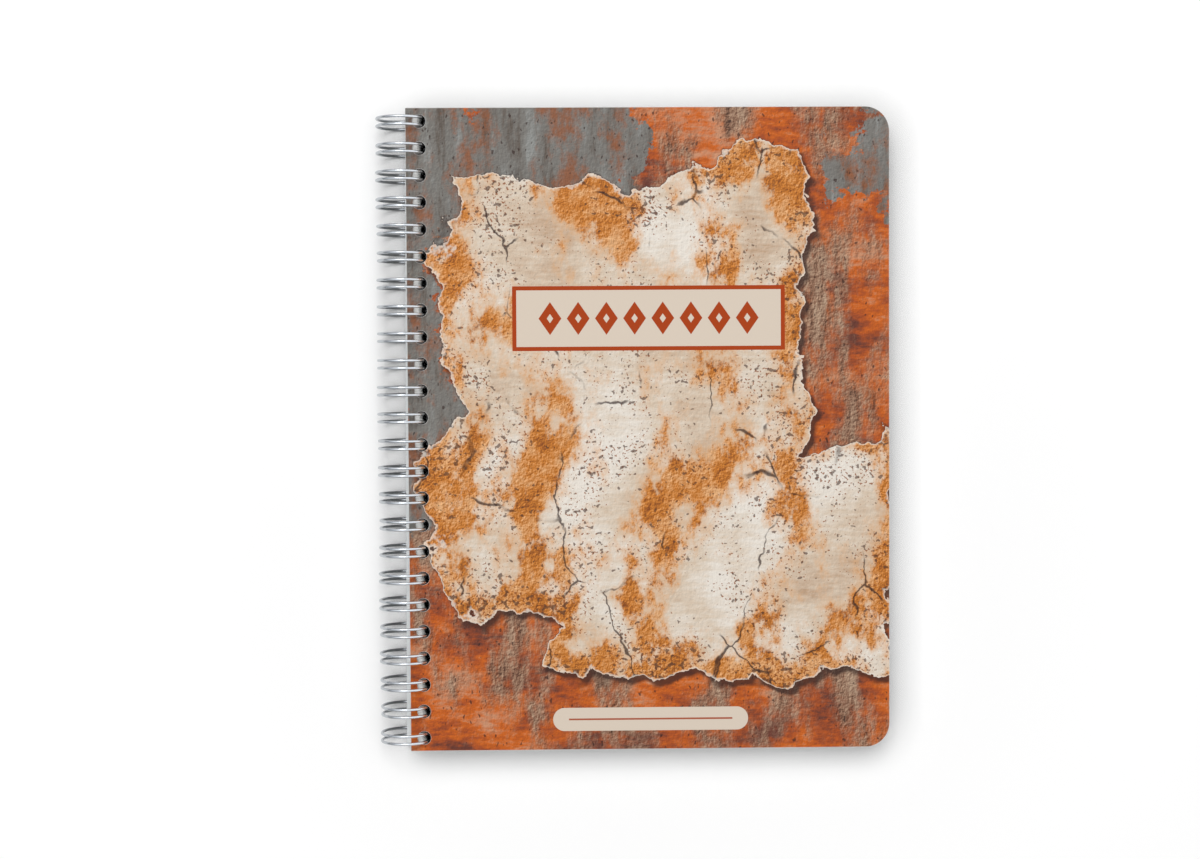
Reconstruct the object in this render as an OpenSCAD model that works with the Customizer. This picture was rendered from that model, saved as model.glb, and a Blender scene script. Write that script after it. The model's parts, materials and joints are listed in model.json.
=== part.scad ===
// A side-bound notebook: two card covers and a block of pages on a twin-loop wire.
// Millimetres. X runs from the wire to the fore-edge, Y up the page, Z up from the table.

/* [Covers] */
// Width of each cover, from its spine edge to its fore-edge
cover_w = 152.4; // [120:0.1:200]
// Height of each cover along the spine
cover_h = 203.2; // [100:0.1:260]
// Radius of the two rounded fore-edge corners
corner_r = 7.8; // [2:0.1:12]
// Thickness of the printed front cover
front_t = 0.5; // [0.3:0.05:0.8]
// Thickness of the stiffer back cover
back_t = 0.8; // [0.5:0.05:1.2]

/* [Pages] */
// Thickness of the whole block of pages
pages_t = 8.5; // [7.5:0.1:9.2]
// How much narrower a page is than a cover
page_trim_w = 1.7; // [1:0.1:5]
// How much shorter a page is than a cover
page_trim_h = 0.4; // [0:0.1:4]
// Height of the topmost page above the middle of the loops
pages_above_middle = 3; // [2.4:0.1:3.6]
// Number of leaf bundles that fan out round the wire
bundles = 10; // [8:1:14]

/* [Wire] */
// Inside diameter of a closed loop
loop_inside_d = 14.3; // [14:0.1:16]
// Diameter of the wire
wire_d = 0.9; // [0.7:0.05:1.1]
// Distance between the two strands of a loop, middle to middle
strand_gap = 2.4; // [2:0.1:3]
// Distance from one loop to the next
pitch = 8.4667; // [7.9:0.0001:10]
// Radius of the bends where a strand turns into the seam, to the middle of the wire
bend_r = 0.9; // [0.7:0.05:1.1]
// Length of the cut wire end past the last bend
end_stub = 0.8; // [0.4:0.1:1]
// Gap between the closed end of a loop and the seam
seam_gap = 0.3; // [0.2:0.05:0.6]

/* [Holes] */
// Play between a pair of strands and the round hole they pass through, each side
hole_play = 0.45; // [0.4:0.05:0.7]
// Distance from a sheet's spine edge to the near side of its holes
hole_margin = 2.2; // [1.8:0.1:4]
// How far the wire stands towards the fore-edge from the middle of the front cover's holes
front_lead = 0.8; // [0.4:0.05:0.8]
// How far the wire stands towards the spine from the middle of the page holes
page_lag = 0.5; // [0.2:0.05:0.6]
// How far the wire stands towards the spine from the middle of the back cover's holes
back_lag = 0.2; // [0:0.05:0.3]
// Clearance round the seam in the channel that it presses into the last pages
seam_clear = 0.1; // [0.05:0.05:0.3]

/* [Hidden] */
$fn = 48;
// As many loops as there are whole pitches in the height of the covers
loop_count = floor(cover_h / pitch + 0.01);
hole_d = strand_gap + wire_d + 2 * hole_play;
hole_in = hole_margin + hole_d / 2;
loop_r = (loop_inside_d + wire_d) / 2;
loop_out = loop_r + wire_d / 2;
// Levels above the middle of the loops
pages_top = pages_above_middle;
pages_foot = pages_top - pages_t;
bundle_t = pages_t / bundles;
// Where the wire crosses a level above the middle of the loops
function wire_at(level) = sqrt(loop_r * loop_r - level * level);
// Spine edges of the sheets, from the middle of the loops
front_edge = wire_at(pages_top + front_t / 2) - front_lead - hole_in;
back_edge = wire_at(pages_foot - back_t / 2) + back_lag - hole_in;
function page_edge(level) = wire_at(level) + page_lag - hole_in;
page_w = cover_w - page_trim_w;
page_h = cover_h - page_trim_h;
page_reach = max([for (i = [0 : bundles - 1]) page_edge(bundle_level(i))]) + page_w;
function bundle_level(i) = pages_foot + (i + 0.5) * bundle_t;
// The origin is under the middle of the whole notebook, on the table
reach = max(front_edge + cover_w, back_edge + cover_w, page_reach);
axis_x = (loop_out - reach) / 2;
axis_z = loop_out;
// The seam lies between the last page and the back cover, and the closed loop ends stop short of it
seam_level = pages_foot + wire_d / 2 + seam_clear / 2;
seam_r = sqrt(loop_r * loop_r + bend_r * bend_r);
seam_at = asin(seam_level / seam_r);
strand_end = 360 + seam_at - atan(bend_r / loop_r);
turn_reach = atan(strand_gap / 2 / loop_r) + (wire_d + seam_gap) / loop_r * 180 / PI;
strand_start = seam_at + turn_reach;
seam_x = seam_r * cos(seam_at);
bar_from = strand_gap / 2 + bend_r;
row_l = (loop_count - 1) * pitch;
seam_l = row_l + strand_gap + 2 * (bend_r + end_stub + seam_clear);
// Overshoot of a cutting shape past the face it cuts
past = 1;
// A ball this much thicker than the wire makes a bend and its strand one piece
ball_d = wire_d + 0.04;

// Places along the spine, to the nearest thousandth so that the wire's pieces meet exactly
function loop_y(i) = round(1000 * (i - (loop_count - 1) / 2) * pitch) / 1000;

// What is cut off a square corner to round it, with its middle at the origin
module corner_cut() {
    difference() {
        square(corner_r + past);
        circle(corner_r);
    }
}

module sheet_outline(w, h) {
    difference() {
        translate([0, -h / 2]) square([w, h]);
        for (side = [0, 1])
            mirror([0, side]) translate([w - corner_r, h / 2 - corner_r]) corner_cut();
        for (i = [0 : loop_count - 1])
            translate([hole_in, loop_y(i)]) circle(d = hole_d);
    }
}

module sheet(edge, foot, w, h, t) {
    translate([axis_x + edge, 0, axis_z + foot]) linear_extrude(t) sheet_outline(w, h);
}

module front_cover() {
    color([0.78, 0.62, 0.48]) sheet(front_edge, pages_top, cover_w, cover_h, front_t);
}

module back_cover() {
    color([0.80, 0.77, 0.71]) sheet(back_edge, pages_foot - back_t, cover_w, cover_h, back_t);
}

// The bundles of leaves shift with the wire, so the block bows out round the loops
module page_block() {
    color([0.96, 0.95, 0.91]) difference() {
        union() {
            for (i = [0 : bundles - 1])
                sheet(page_edge(bundle_level(i)), pages_foot + i * bundle_t, page_w, page_h, bundle_t);
        }
        seam_channel();
    }
}

module seam_channel() {
    half_w = wire_d / 2 + seam_clear;
    translate([axis_x + seam_x - half_w, -seam_l / 2, axis_z + pages_foot - past])
        cube([2 * half_w, seam_l, past + wire_d + 1.5 * seam_clear]);
}

// A piece of wire bent round the local Z axis, from angle 0
module bent_wire(r, angle) {
    rotate_extrude(angle = angle) translate([r, 0]) circle(d = wire_d);
}

// One loop: two strands, the closed end between them and the bends into the seam
module twin_loop() {
    for (side = [-1, 1])
        translate([0, 0, side * strand_gap / 2]) {
            rotate([0, 0, strand_start]) bent_wire(loop_r, strand_end - strand_start);
            rotate([0, 0, strand_end]) translate([loop_r, 0, 0]) seam_bend(side);
        }
    rotate([0, 0, strand_start]) translate([loop_r, 0, 0])
        rotate([0, 90, 0]) rotate([0, 0, 180]) bent_wire(strand_gap / 2, 180);
}

module seam_bend(side) {
    sphere(d = ball_d);
    translate([0, 0, side * bend_r]) rotate([0, side * 90, 0]) bent_wire(bend_r, 90);
}

// A straight stretch of the seam, from the bend of the loop that it starts at
module seam_bar(length) {
    rotate([0, 0, strand_end]) translate([loop_r, bend_r, bar_from]) cylinder(h = length, d = wire_d);
}

module twin_loop_wire() {
    last = loop_count - 1;
    color([0.75, 0.77, 0.80]) translate([axis_x, 0, axis_z]) rotate([90, 0, 0]) union() {
        for (i = [0 : last])
            translate([0, 0, loop_y(i)]) {
                twin_loop();
                seam_bar(i < last ? loop_y(i + 1) - loop_y(i) - 2 * bar_from : end_stub);
            }
        translate([0, 0, loop_y(0)]) mirror([0, 0, 1]) seam_bar(end_stub);
    }
}

front_cover();
page_block();
back_cover();
twin_loop_wire();
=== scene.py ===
"""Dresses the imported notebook: printed cover, leaves, backing card, twin-loop wire and a plain studio."""

import json
import math
import random

import bmesh
import bpy
from bpy.props import FloatProperty, FloatVectorProperty, IntProperty, PointerProperty
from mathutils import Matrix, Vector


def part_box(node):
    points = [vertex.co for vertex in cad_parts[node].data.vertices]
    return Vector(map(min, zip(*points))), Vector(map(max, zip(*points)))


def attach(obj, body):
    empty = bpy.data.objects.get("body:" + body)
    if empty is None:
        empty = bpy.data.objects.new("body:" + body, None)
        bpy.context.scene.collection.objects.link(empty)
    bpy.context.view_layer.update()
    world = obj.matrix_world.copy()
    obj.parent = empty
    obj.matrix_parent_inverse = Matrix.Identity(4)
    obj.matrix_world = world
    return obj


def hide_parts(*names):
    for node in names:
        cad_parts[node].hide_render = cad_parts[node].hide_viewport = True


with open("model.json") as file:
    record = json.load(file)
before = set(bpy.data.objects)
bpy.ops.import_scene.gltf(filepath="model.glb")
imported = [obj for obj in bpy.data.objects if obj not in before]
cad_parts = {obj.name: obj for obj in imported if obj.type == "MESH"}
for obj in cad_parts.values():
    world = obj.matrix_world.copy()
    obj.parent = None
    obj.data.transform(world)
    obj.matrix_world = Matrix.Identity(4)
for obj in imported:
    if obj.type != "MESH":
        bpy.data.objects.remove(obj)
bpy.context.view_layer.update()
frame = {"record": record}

bl_info = {
    "name": "Wire-bound notebook",
    "version": (1, 0, 0),
    "blender": (4, 5, 0),
    "location": "3D View > Sidebar > Notebook",
    "description": "Builds a side-bound notebook with printed card covers, leaves and a twin-loop wire",
    "category": "Object",
}

MM = 0.001
FRONT_LOW, FRONT_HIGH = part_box("front_cover")
PAGES_LOW, PAGES_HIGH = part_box("page_block")
BACK_LOW, BACK_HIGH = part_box("back_cover")
WIRE_LOW, WIRE_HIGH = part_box("twin_loop_wire")
HINGE = frame["record"]["behaviour"]["joints"][0]["pos_m"]


def length(name, description, default):
    """A size in metres that a user may change."""
    return FloatProperty(name=name, description=description, default=default, min=0.0, max=1.0,
                         unit="LENGTH", precision=5)


def colour(name, description, red, green, blue):
    """A colour as it is seen, from its three channels of 0 to 255."""
    return FloatVectorProperty(name=name, description=description, subtype="COLOR_GAMMA", size=3,
                               default=(red / 255, green / 255, blue / 255), min=0.0, max=1.0)


class NotebookSizes(bpy.types.PropertyGroup):
    """Sizes of the sheets and of the wire."""

    loop_count: IntProperty(name="Loops", description="Loops along the spine", default=24, min=4, max=24)
    pitch: length("Pitch", "Distance from one loop to the next", 8.4667 * MM)
    wire: length("Wire", "Diameter of the wire", 0.9 * MM)
    strand_gap: length("Strand gap", "Distance between the two strands of a loop", 2.4 * MM)
    bend: length("Bend", "Radius of the bends into the seam", 0.9 * MM)
    end_stub: length("End stub", "Length of the cut wire end past the last bend", 0.8 * MM)
    seam_gap: length("Seam gap", "Gap between a closed loop end and the seam", 0.3 * MM)
    seam_clear: length("Seam clearance", "Play round the seam in the last leaves", 0.1 * MM)
    sway: length("Sway", "How far a loop may stand in or out of the row", 0.2 * MM)
    lean: length("Lean", "How far a loop may lean along the spine", 0.05 * MM)
    hole: length("Hole", "Diameter of the punched holes", 4.2 * MM)
    hole_margin: length("Hole margin", "From a sheet's spine edge to its holes", 2.2 * MM)
    corner: length("Corner radius", "Radius of the fore-edge corners", 7.8 * MM)
    edge_round: length("Edge rounding", "Rounding of a card's cut edges", 0.07 * MM)
    page_lag: length("Page lag", "From the wire to the middle of a page's holes", 0.5 * MM)
    leaves: IntProperty(name="Leaves", description="Leaves in the block", default=85, min=20, max=120)
    leaf_gap: length("Leaf gap", "Air between two leaves", 0.012 * MM)
    leaf_shift: length("Leaf shift", "How far a leaf may lie out of true", 0.09 * MM)
    page_w: length("Page width", "Width of a page", 150.7 * MM)
    skew_top: length("Skew at the head", "Back cover cut short of its spine edge at the head", 0.3 * MM)
    skew_foot: length("Skew at the foot", "Back cover cut past its spine edge at the foot", 1.0 * MM)


class NotebookColours(bpy.types.PropertyGroup):
    """Colours of the print and of the bare materials, as they are seen."""

    cream: colour("Cream", "Worn plaster field", 219, 201, 180)
    cream_pale: colour("Pale cream", "Bleached parts of the plaster field", 236, 228, 217)
    cream_dark: colour("Stained cream", "Stained parts of the plaster field", 192, 160, 131)
    ochre: colour("Ochre", "Rough ochre patches", 202, 124, 48)
    ochre_dark: colour("Dark ochre", "Hollows of the ochre patches", 146, 80, 34)
    ochre_pale: colour("Pale ochre", "Crests of the ochre patches", 224, 172, 122)
    rust: colour("Rust", "Rust field", 172, 81, 36)
    rust_dark: colour("Dark rust", "Dark parts of the rust field", 106, 58, 46)
    rust_bright: colour("Bright rust", "Orange parts of the rust field", 203, 100, 30)
    rust_pale: colour("Pale rust", "Worn parts of the rust field", 202, 144, 110)
    slate: colour("Slate", "Slate paint field", 122, 119, 114)
    slate_dark: colour("Dark slate", "Dark parts of the slate field", 96, 86, 78)
    slate_pale: colour("Pale slate", "Scuffed parts of the slate field", 144, 145, 142)
    brown: colour("Brown", "Bare rough ground", 142, 106, 84)
    brown_dark: colour("Dark brown", "Hollows of the bare ground", 82, 54, 42)
    brown_pale: colour("Pale brown", "Crests of the bare ground", 178, 150, 126)
    # Shade is also the colour of the painted shade in the holes of the front cover and of the leaves
    shade: colour("Shade", "Shadow that the print shows under a torn edge", 54, 34, 30)
    panel: colour("Panel", "Ground of the title panel and the lower strip", 223, 208, 191)
    ink: colour("Ink", "Frame and ornaments", 172, 63, 8)
    ink_soft: colour("Soft ink", "Rule on the lower strip", 174, 92, 66)
    card_core: colour("Card core", "Cut edges and inside of the printed card", 236, 234, 231)
    backing: colour("Backing card", "Back cover", 244, 247, 248)
    paper: colour("Paper", "Leaves", 240, 240, 237)
    steel: colour("Steel", "Binding wire", 216, 220, 224)
    floor: colour("Floor", "Table and backdrop", 240, 240, 240)


class NotebookStage(bpy.types.PropertyGroup):
    """Camera and lights."""

    camera_place: FloatVectorProperty(name="Camera place", description="Where the camera stands",
                                      subtype="TRANSLATION", default=(-0.0209984, 0.0202533, 0.5989779))
    camera_turn: FloatVectorProperty(name="Camera turn", description="How the camera is turned",
                                     subtype="EULER", default=(-0.0340, -0.0175, -0.0060))
    lens: FloatProperty(name="Lens", description="Focal length in millimetres on a 36 mm wide frame",
                        default=55.79, min=10.0, max=300.0)
    key_power: FloatProperty(name="Key power", description="Power of the large soft lamp in watts",
                             default=6.7, min=0.0, max=100.0)
    sky: FloatProperty(name="Sky", description="Strength of the even light from all round",
                       default=0.65, min=0.0, max=3.0)


def sizes():
    """The notebook's sizes in this scene."""
    return bpy.context.scene.notebook_sizes


def shades():
    """The notebook's colours in this scene."""
    return bpy.context.scene.notebook_colours


def linear(value):
    """A colour that is written as it is seen, as the shaders want it."""
    channels = [c / 12.92 if c <= 0.04045 else ((c + 0.055) / 1.055) ** 2.4 for c in value]
    return (*channels, 1.0)


def dimmed(value, share):
    """A colour for the shaders with its seen channels brought down."""
    return linear([c * share for c in value])


class Wiring:
    """Makes the nodes of one tree, with numbers or sockets as inputs."""

    def __init__(self, tree):
        self.tree = tree

    def add(self, kind, inputs=(), **settings):
        """One node, with its settings and what goes into its inputs."""
        made = self.tree.nodes.new(kind)
        for name, value in settings.items():
            setattr(made, name, value)
        for key, value in dict(inputs).items():
            self.feed(made.inputs[key], value)
        return made

    def feed(self, socket, value):
        """Gives a socket a link or a value of its own."""
        if isinstance(value, bpy.types.NodeSocket):
            self.tree.links.new(value, socket)
        else:
            socket.default_value = value

    def math(self, operation, *values):
        """One Math node."""
        return self.add("ShaderNodeMath", enumerate(values), operation=operation).outputs[0]

    def vector(self, operation, *values):
        """One Vector Math node."""
        return self.add("ShaderNodeVectorMath", enumerate(values), operation=operation).outputs[0]

    def hypotenuse(self, first, second):
        """Length of the long side of a right triangle."""
        squares = self.math("ADD", self.math("POWER", first, 2.0), self.math("POWER", second, 2.0))
        return self.math("SQRT", squares)

    def in_row(self, value, pitch, count):
        """How far a value lies from the middle of the nearest place in a row that is centred on 0."""
        start = self.math("ADD", value, pitch * count / 2)
        return self.math("SUBTRACT", self.math("FLOORED_MODULO", start, pitch), pitch / 2)

    def noise(self, at, size, detail=4.0, roughness=0.55, out="Fac", stretch=None):
        """Noise whose largest features are about size across, in the units of at."""
        if stretch:
            at = self.vector("MULTIPLY", at, stretch)
        inputs = {"Vector": at, "Scale": 1.0 / size, "Detail": detail, "Roughness": roughness}
        return self.add("ShaderNodeTexNoise", inputs).outputs[out]

    def step(self, value, low, high):
        """0 below low and 1 above high, or the other way round if low is the larger."""
        inputs = {"Value": value, "From Min": low, "From Max": high}
        return self.add("ShaderNodeMapRange", inputs, interpolation_type="SMOOTHSTEP").outputs[0]

    def mix(self, share, first, second):
        """The first colour, with a share of the second laid over it."""
        made = self.add("ShaderNodeMix", data_type="RGBA")
        for index, value in ((0, share), (6, first), (7, second)):
            self.feed(made.inputs[index], value)
        return made.outputs[2]

    def ramp(self, value, *stops):
        """Colours that follow a value, from pairs of a place between 0 and 1 and a colour."""
        made = self.add("ShaderNodeValToRGB", {"Fac": value})
        elements = made.color_ramp.elements
        for index, (place, shade) in enumerate(stops):
            element = elements[index] if index < 2 else elements.new(place)
            element.position = place
            element.color = shade
        return made.outputs["Color"]

    def split(self, vector):
        """The three parts of a vector."""
        return self.add("ShaderNodeSeparateXYZ", {"Vector": vector}).outputs


def new_material(name):
    """An empty node material, its wiring and its main shader."""
    made = bpy.data.materials.new(name)
    made.use_nodes = True
    made.node_tree.nodes.clear()
    wiring = Wiring(made.node_tree)
    shader = wiring.add("ShaderNodeBsdfPrincipled")
    output = wiring.add("ShaderNodeOutputMaterial")
    made.node_tree.links.new(shader.outputs[0], output.inputs[0])
    return made, wiring, shader


def millimetres(wiring, corner):
    """Object coordinates in millimetres from a corner of the piece."""
    place = wiring.add("ShaderNodeTexCoord").outputs["Object"]
    moved = wiring.vector("SUBTRACT", place, tuple(corner))
    return wiring.vector("MULTIPLY", moved, (1 / MM, 1 / MM, 1 / MM))


def bump(wiring, shader, height, strength, distance):
    """Fine relief for the light to catch."""
    made = wiring.add("ShaderNodeBump", {"Height": height, "Strength": strength, "Distance": distance})
    wiring.feed(shader.inputs["Normal"], made.outputs["Normal"])


def open_sockets(tree, inputs, outputs):
    """Gives a node group its inputs and outputs, each a name and a kind."""
    for side, sockets in (("INPUT", inputs), ("OUTPUT", outputs)):
        for name, kind in sockets:
            tree.interface.new_socket(name=name, in_out=side, socket_type="NodeSocket" + kind)


# The printed front cover. Its places and sizes are in millimetres, from the middle of the spine edge.

# A field of the print is a few rectangles, each a middle and half its size, whose outline is torn
PLASTER_BOXES = (((70.0, 26.0), (58.0, 56.0)), ((100.0, -38.0), (56.0, 36.0)),
                 ((36.0, -30.0), (26.0, 30.0)))
SLATE_BOXES = (((10.0, 84.0), (62.0, 26.0)), ((4.0, 30.0), (10.0, 60.0)),
               ((150.0, 88.0), (14.0, 16.0)))
# Size of the waves in those outlines, and how far they reach
TEAR_SIZE, TEAR_REACH = 38.0, 27.0

# Size and depth of the roughness that the print shows, and where its light and shade are compared
ROUGH_SIZE, ROUGH_DEPTH = 1.1, 2.6
LIGHT_SIDE = (-0.17, 0.20, 0.0)

# How far the plaster's printed shadow falls
CAST = (-1.2, 1.5, 0.0)

# Size of the fields between the cracks, and how far the cracks wander
CRACK_SIZE, CRACK_BEND = 30.0, 5.5

# Moves the pits off the specks, which are made by the same noise
PIT_OFFSET = (57.0, 91.0, 0.0)

# The outline that edge_distance rounds reaches this far past the spine, so that only the fore-edge is round
SPINE_PAST = 10.0

PANEL_MIDDLE, PANEL_HALF, PANEL_LINE = (76.2, 35.3), (43.05, 10.2), 1.3
STRIP_MIDDLE, STRIP_HALF = (76.2, -91.9), (31.0, 3.7)
RULE_HALF = (STRIP_HALF[0] - 5.0, 0.28)
LOZENGE_HALF, LOZENGE_PITCH, LOZENGE_COUNT = (3.6, 5.2), 8.9, 8
# Share of a lozenge's half size that its printed line takes up
LOZENGE_LINE = 0.72
# Turns a lozenge's own measure, 1 from its middle to its outline, into millimetres
LOZENGE_MM = 4.0


def box_field(wiring, at, middle, half):
    """Distance outside a rectangle in the print's plane, below 0 inside."""
    offset = wiring.vector("ABSOLUTE", wiring.vector("SUBTRACT", at, (*middle, 0.0)))
    across, along, _ = wiring.split(offset)
    past_side = wiring.math("SUBTRACT", across, half[0])
    return wiring.math("MAXIMUM", past_side, wiring.math("SUBTRACT", along, half[1]))


def bar_field(wiring, at, middle, half):
    """Distance outside a bar with round ends, below 0 inside."""
    offset = wiring.vector("ABSOLUTE", wiring.vector("SUBTRACT", at, (*middle, 0.0)))
    across, along, _ = wiring.split(offset)
    past_end = wiring.math("MAXIMUM", wiring.math("SUBTRACT", across, half[0] - half[1]), 0.0)
    return wiring.math("SUBTRACT", wiring.hypotenuse(past_end, along), half[1])


def waved(wiring, place, size, detail, roughness, reach):
    """A place moved about by noise, by up to about reach."""
    wave = wiring.noise(place, size, detail, roughness, out="Color")
    wave = wiring.vector("SUBTRACT", wave, (0.5, 0.5, 0.5))
    return wiring.vector("ADD", place, wiring.vector("MULTIPLY", wave, (2 * reach, 2 * reach, 0.0)))


def ragged_group(name, boxes):
    """A node group that gives how deep a point lies inside a ragged field, in millimetres."""
    tree = bpy.data.node_groups.new(name, "ShaderNodeTree")
    open_sockets(tree, (("Place", "Vector"), ("Detail", "Float")), (("Depth", "Float"),))
    wiring = Wiring(tree)
    place, detail = wiring.add("NodeGroupInput").outputs[:2]
    warped = waved(wiring, place, TEAR_SIZE, detail, roughness=0.55, reach=TEAR_REACH)
    depth = None
    for middle, half in boxes:
        one = box_field(wiring, warped, middle, half)
        depth = one if depth is None else wiring.math("MINIMUM", depth, one)
    output = wiring.add("NodeGroupOutput")
    wiring.feed(output.inputs[0], wiring.math("MULTIPLY", depth, -1.0))
    return tree


def ragged(wiring, group, place, detail):
    """Depth inside a ragged field, with its outline drawn in as much detail as asked."""
    return wiring.add("ShaderNodeGroup", {0: place, 1: detail}, node_tree=group).outputs[0]


def relief(wiring, place):
    """Light and shade of a rough surface lit from its upper left, about 1 on average."""
    heights = []
    for offset in ((0.0, 0.0, 0.0), tuple(side * ROUGH_SIZE for side in LIGHT_SIDE)):
        at = wiring.vector("ADD", place, offset)
        heights.append(wiring.noise(at, ROUGH_SIZE, detail=2.0, roughness=0.6, stretch=(1.0, 0.8, 1.0)))
    slope = wiring.math("SUBTRACT", heights[0], heights[1])
    return wiring.math("MULTIPLY_ADD", slope, ROUGH_DEPTH, 1.0)


def lit(wiring, shade, light):
    """A colour made lighter or darker."""
    return wiring.add("ShaderNodeVectorMath", {0: shade, "Scale": light}, operation="SCALE").outputs[0]


def roughened(wiring, shade, rough, share):
    """A colour that shows a share of the relief's light and shade."""
    return lit(wiring, shade, wiring.math("MULTIPLY_ADD", rough, share, 1.0 - share))


def hollowed(wiring, value, rough, share):
    """A value that falls in the hollows of the relief."""
    return wiring.math("MULTIPLY_ADD", wiring.math("SUBTRACT", rough, 1.0), share, value)


def fleck(wiring, place, size, density, stretch=None):
    """Small spots, 1 in a spot, gathered where the density is high."""
    spots = wiring.noise(place, size, detail=1.0, roughness=0.5, stretch=stretch)
    level = wiring.math("MULTIPLY_ADD", density, -0.17, 0.79)
    return wiring.step(wiring.math("SUBTRACT", spots, level), -0.03, 0.02)


def laid(wiring, mask, share, under, over):
    """A colour under another, which covers a share of it where the mask is 1."""
    return wiring.mix(wiring.math("MULTIPLY", mask, share), under, over)


def ground_colour(wiring, place, rough):
    """Rust, with bare rough brown ground in upright patches."""
    tone = shades()
    cloud = wiring.noise(place, 24.0, detail=7.0, roughness=0.66, stretch=(0.8, 1.15, 1.0))
    scratch = wiring.noise(place, 3.2, detail=4.0, roughness=0.68, stretch=(0.45, 1.5, 1.0))
    cloud = wiring.math("MULTIPLY_ADD", wiring.math("SUBTRACT", scratch, 0.5), 0.42, cloud)
    rust = wiring.ramp(cloud, (0.35, linear(tone.rust_dark)), (0.46, linear(tone.rust)),
                       (0.54, linear(tone.rust_bright)), (0.66, linear(tone.rust_pale)))
    rust = roughened(wiring, rust, rough, 0.40)
    bare = wiring.noise(place, 31.0, detail=8.0, roughness=0.72, stretch=(1.25, 0.5, 1.0))
    streak = wiring.noise(place, 5.0, detail=5.0, roughness=0.65, stretch=(1.5, 0.35, 1.0))
    brown = wiring.ramp(hollowed(wiring, streak, rough, 0.30), (0.28, linear(tone.brown_dark)),
                        (0.45, linear(tone.brown)), (0.68, linear(tone.brown_pale)))
    brown = roughened(wiring, brown, rough, 0.75)
    return wiring.mix(wiring.step(bare, 0.46, 0.60), rust, brown)


def slate_colour(wiring, place, rough):
    """Slate paint with upright streaks, scuffs and brown stains."""
    tone = shades()
    streak = wiring.noise(place, 7.0, detail=8.0, roughness=0.70, stretch=(1.5, 0.25, 1.0))
    paint = wiring.ramp(streak, (0.35, linear(tone.slate_dark)), (0.47, linear(tone.slate)),
                        (0.53, linear(tone.slate)), (0.66, linear(tone.slate_pale)))
    stain = wiring.noise(place, 17.0, detail=8.0, roughness=0.74, stretch=(1.2, 0.7, 1.0))
    paint = laid(wiring, wiring.step(stain, 0.47, 0.62), 0.75, paint, linear(tone.ochre_dark))
    return roughened(wiring, paint, rough, 0.50)


def plaster_colour(wiring, place, depth, rough):
    """Cream plaster with stains, strokes, rough ochre patches and specks."""
    tone = shades()
    cloud = wiring.noise(place, 40.0, detail=8.0, roughness=0.62)
    strokes = wiring.noise(place, 2.4, detail=3.0, roughness=0.65, stretch=(0.35, 1.6, 1.0))
    value = wiring.math("MULTIPLY_ADD", wiring.math("SUBTRACT", strokes, 0.5), 0.30, cloud)
    plain = wiring.ramp(value, (0.30, linear(tone.cream_dark)), (0.46, linear(tone.cream)),
                        (0.62, linear(tone.cream_pale)))
    plain = roughened(wiring, plain, rough, 0.22)
    patch = wiring.noise(place, 33.0, detail=9.0, roughness=0.68, stretch=(1.15, 0.75, 1.0))
    near_edge = wiring.step(depth, 18.0, 0.0)
    patch = wiring.math("MULTIPLY_ADD", near_edge, 0.075, patch)
    tint = wiring.noise(place, 9.0, detail=6.0, roughness=0.65)
    ochre = wiring.ramp(hollowed(wiring, tint, rough, 0.22), (0.30, linear(tone.ochre_dark)),
                        (0.47, linear(tone.ochre)), (0.66, linear(tone.ochre_pale)))
    ochre = roughened(wiring, ochre, rough, 0.60)
    shown = laid(wiring, wiring.step(patch, 0.47, 0.56), 0.6, plain, linear(tone.ochre_pale))
    shown = wiring.mix(wiring.step(patch, 0.53, 0.58), shown, ochre)
    gather = wiring.step(wiring.noise(place, 21.0, detail=4.0, roughness=0.66), 0.34, 0.66)
    gather = wiring.math("MULTIPLY_ADD", near_edge, 0.35, gather)
    shown = laid(wiring, fleck(wiring, place, 0.85, gather), 0.85, shown, linear(tone.ochre_dark))
    pits = fleck(wiring, wiring.vector("ADD", place, PIT_OFFSET), 1.7, gather)
    return laid(wiring, pits, 0.75, shown, linear(tone.brown_dark))


def crack_lines(wiring, place):
    """Thin wandering cracks, 1 on a line."""
    bent = waved(wiring, place, size=12.0, detail=4.0, roughness=0.5, reach=CRACK_BEND)
    inputs = {"Vector": wiring.vector("MULTIPLY", bent, (1.0, 0.7, 1.0)), "Scale": 1 / CRACK_SIZE}
    cells = wiring.add("ShaderNodeTexVoronoi", inputs, feature="DISTANCE_TO_EDGE")
    near = wiring.step(cells.outputs["Distance"], 0.013, 0.003)
    there = wiring.step(wiring.noise(place, 19.0, detail=3.0), 0.48, 0.58)
    return wiring.math("MULTIPLY", near, there)


def worn_ground(wiring, place, rough, slate_depth):
    """What shows round the plaster: rust and bare ground, with slate paint over a part of them."""
    tone = shades()
    wear = wiring.noise(place, 13.0, detail=9.0, roughness=0.72)
    wear = wiring.math("MULTIPLY", wiring.math("SUBTRACT", wear, 0.5), 52.0)
    painted = wiring.step(wiring.math("ADD", slate_depth, wear), -0.7, 0.7)
    ground = wiring.mix(painted, ground_colour(wiring, place, rough), slate_colour(wiring, place, rough))
    pits = fleck(wiring, place, 1.6, wiring.noise(place, 12.0, detail=3.0), stretch=(1.2, 0.7, 1.0))
    return laid(wiring, pits, 0.75, ground, linear(tone.shade))


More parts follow.
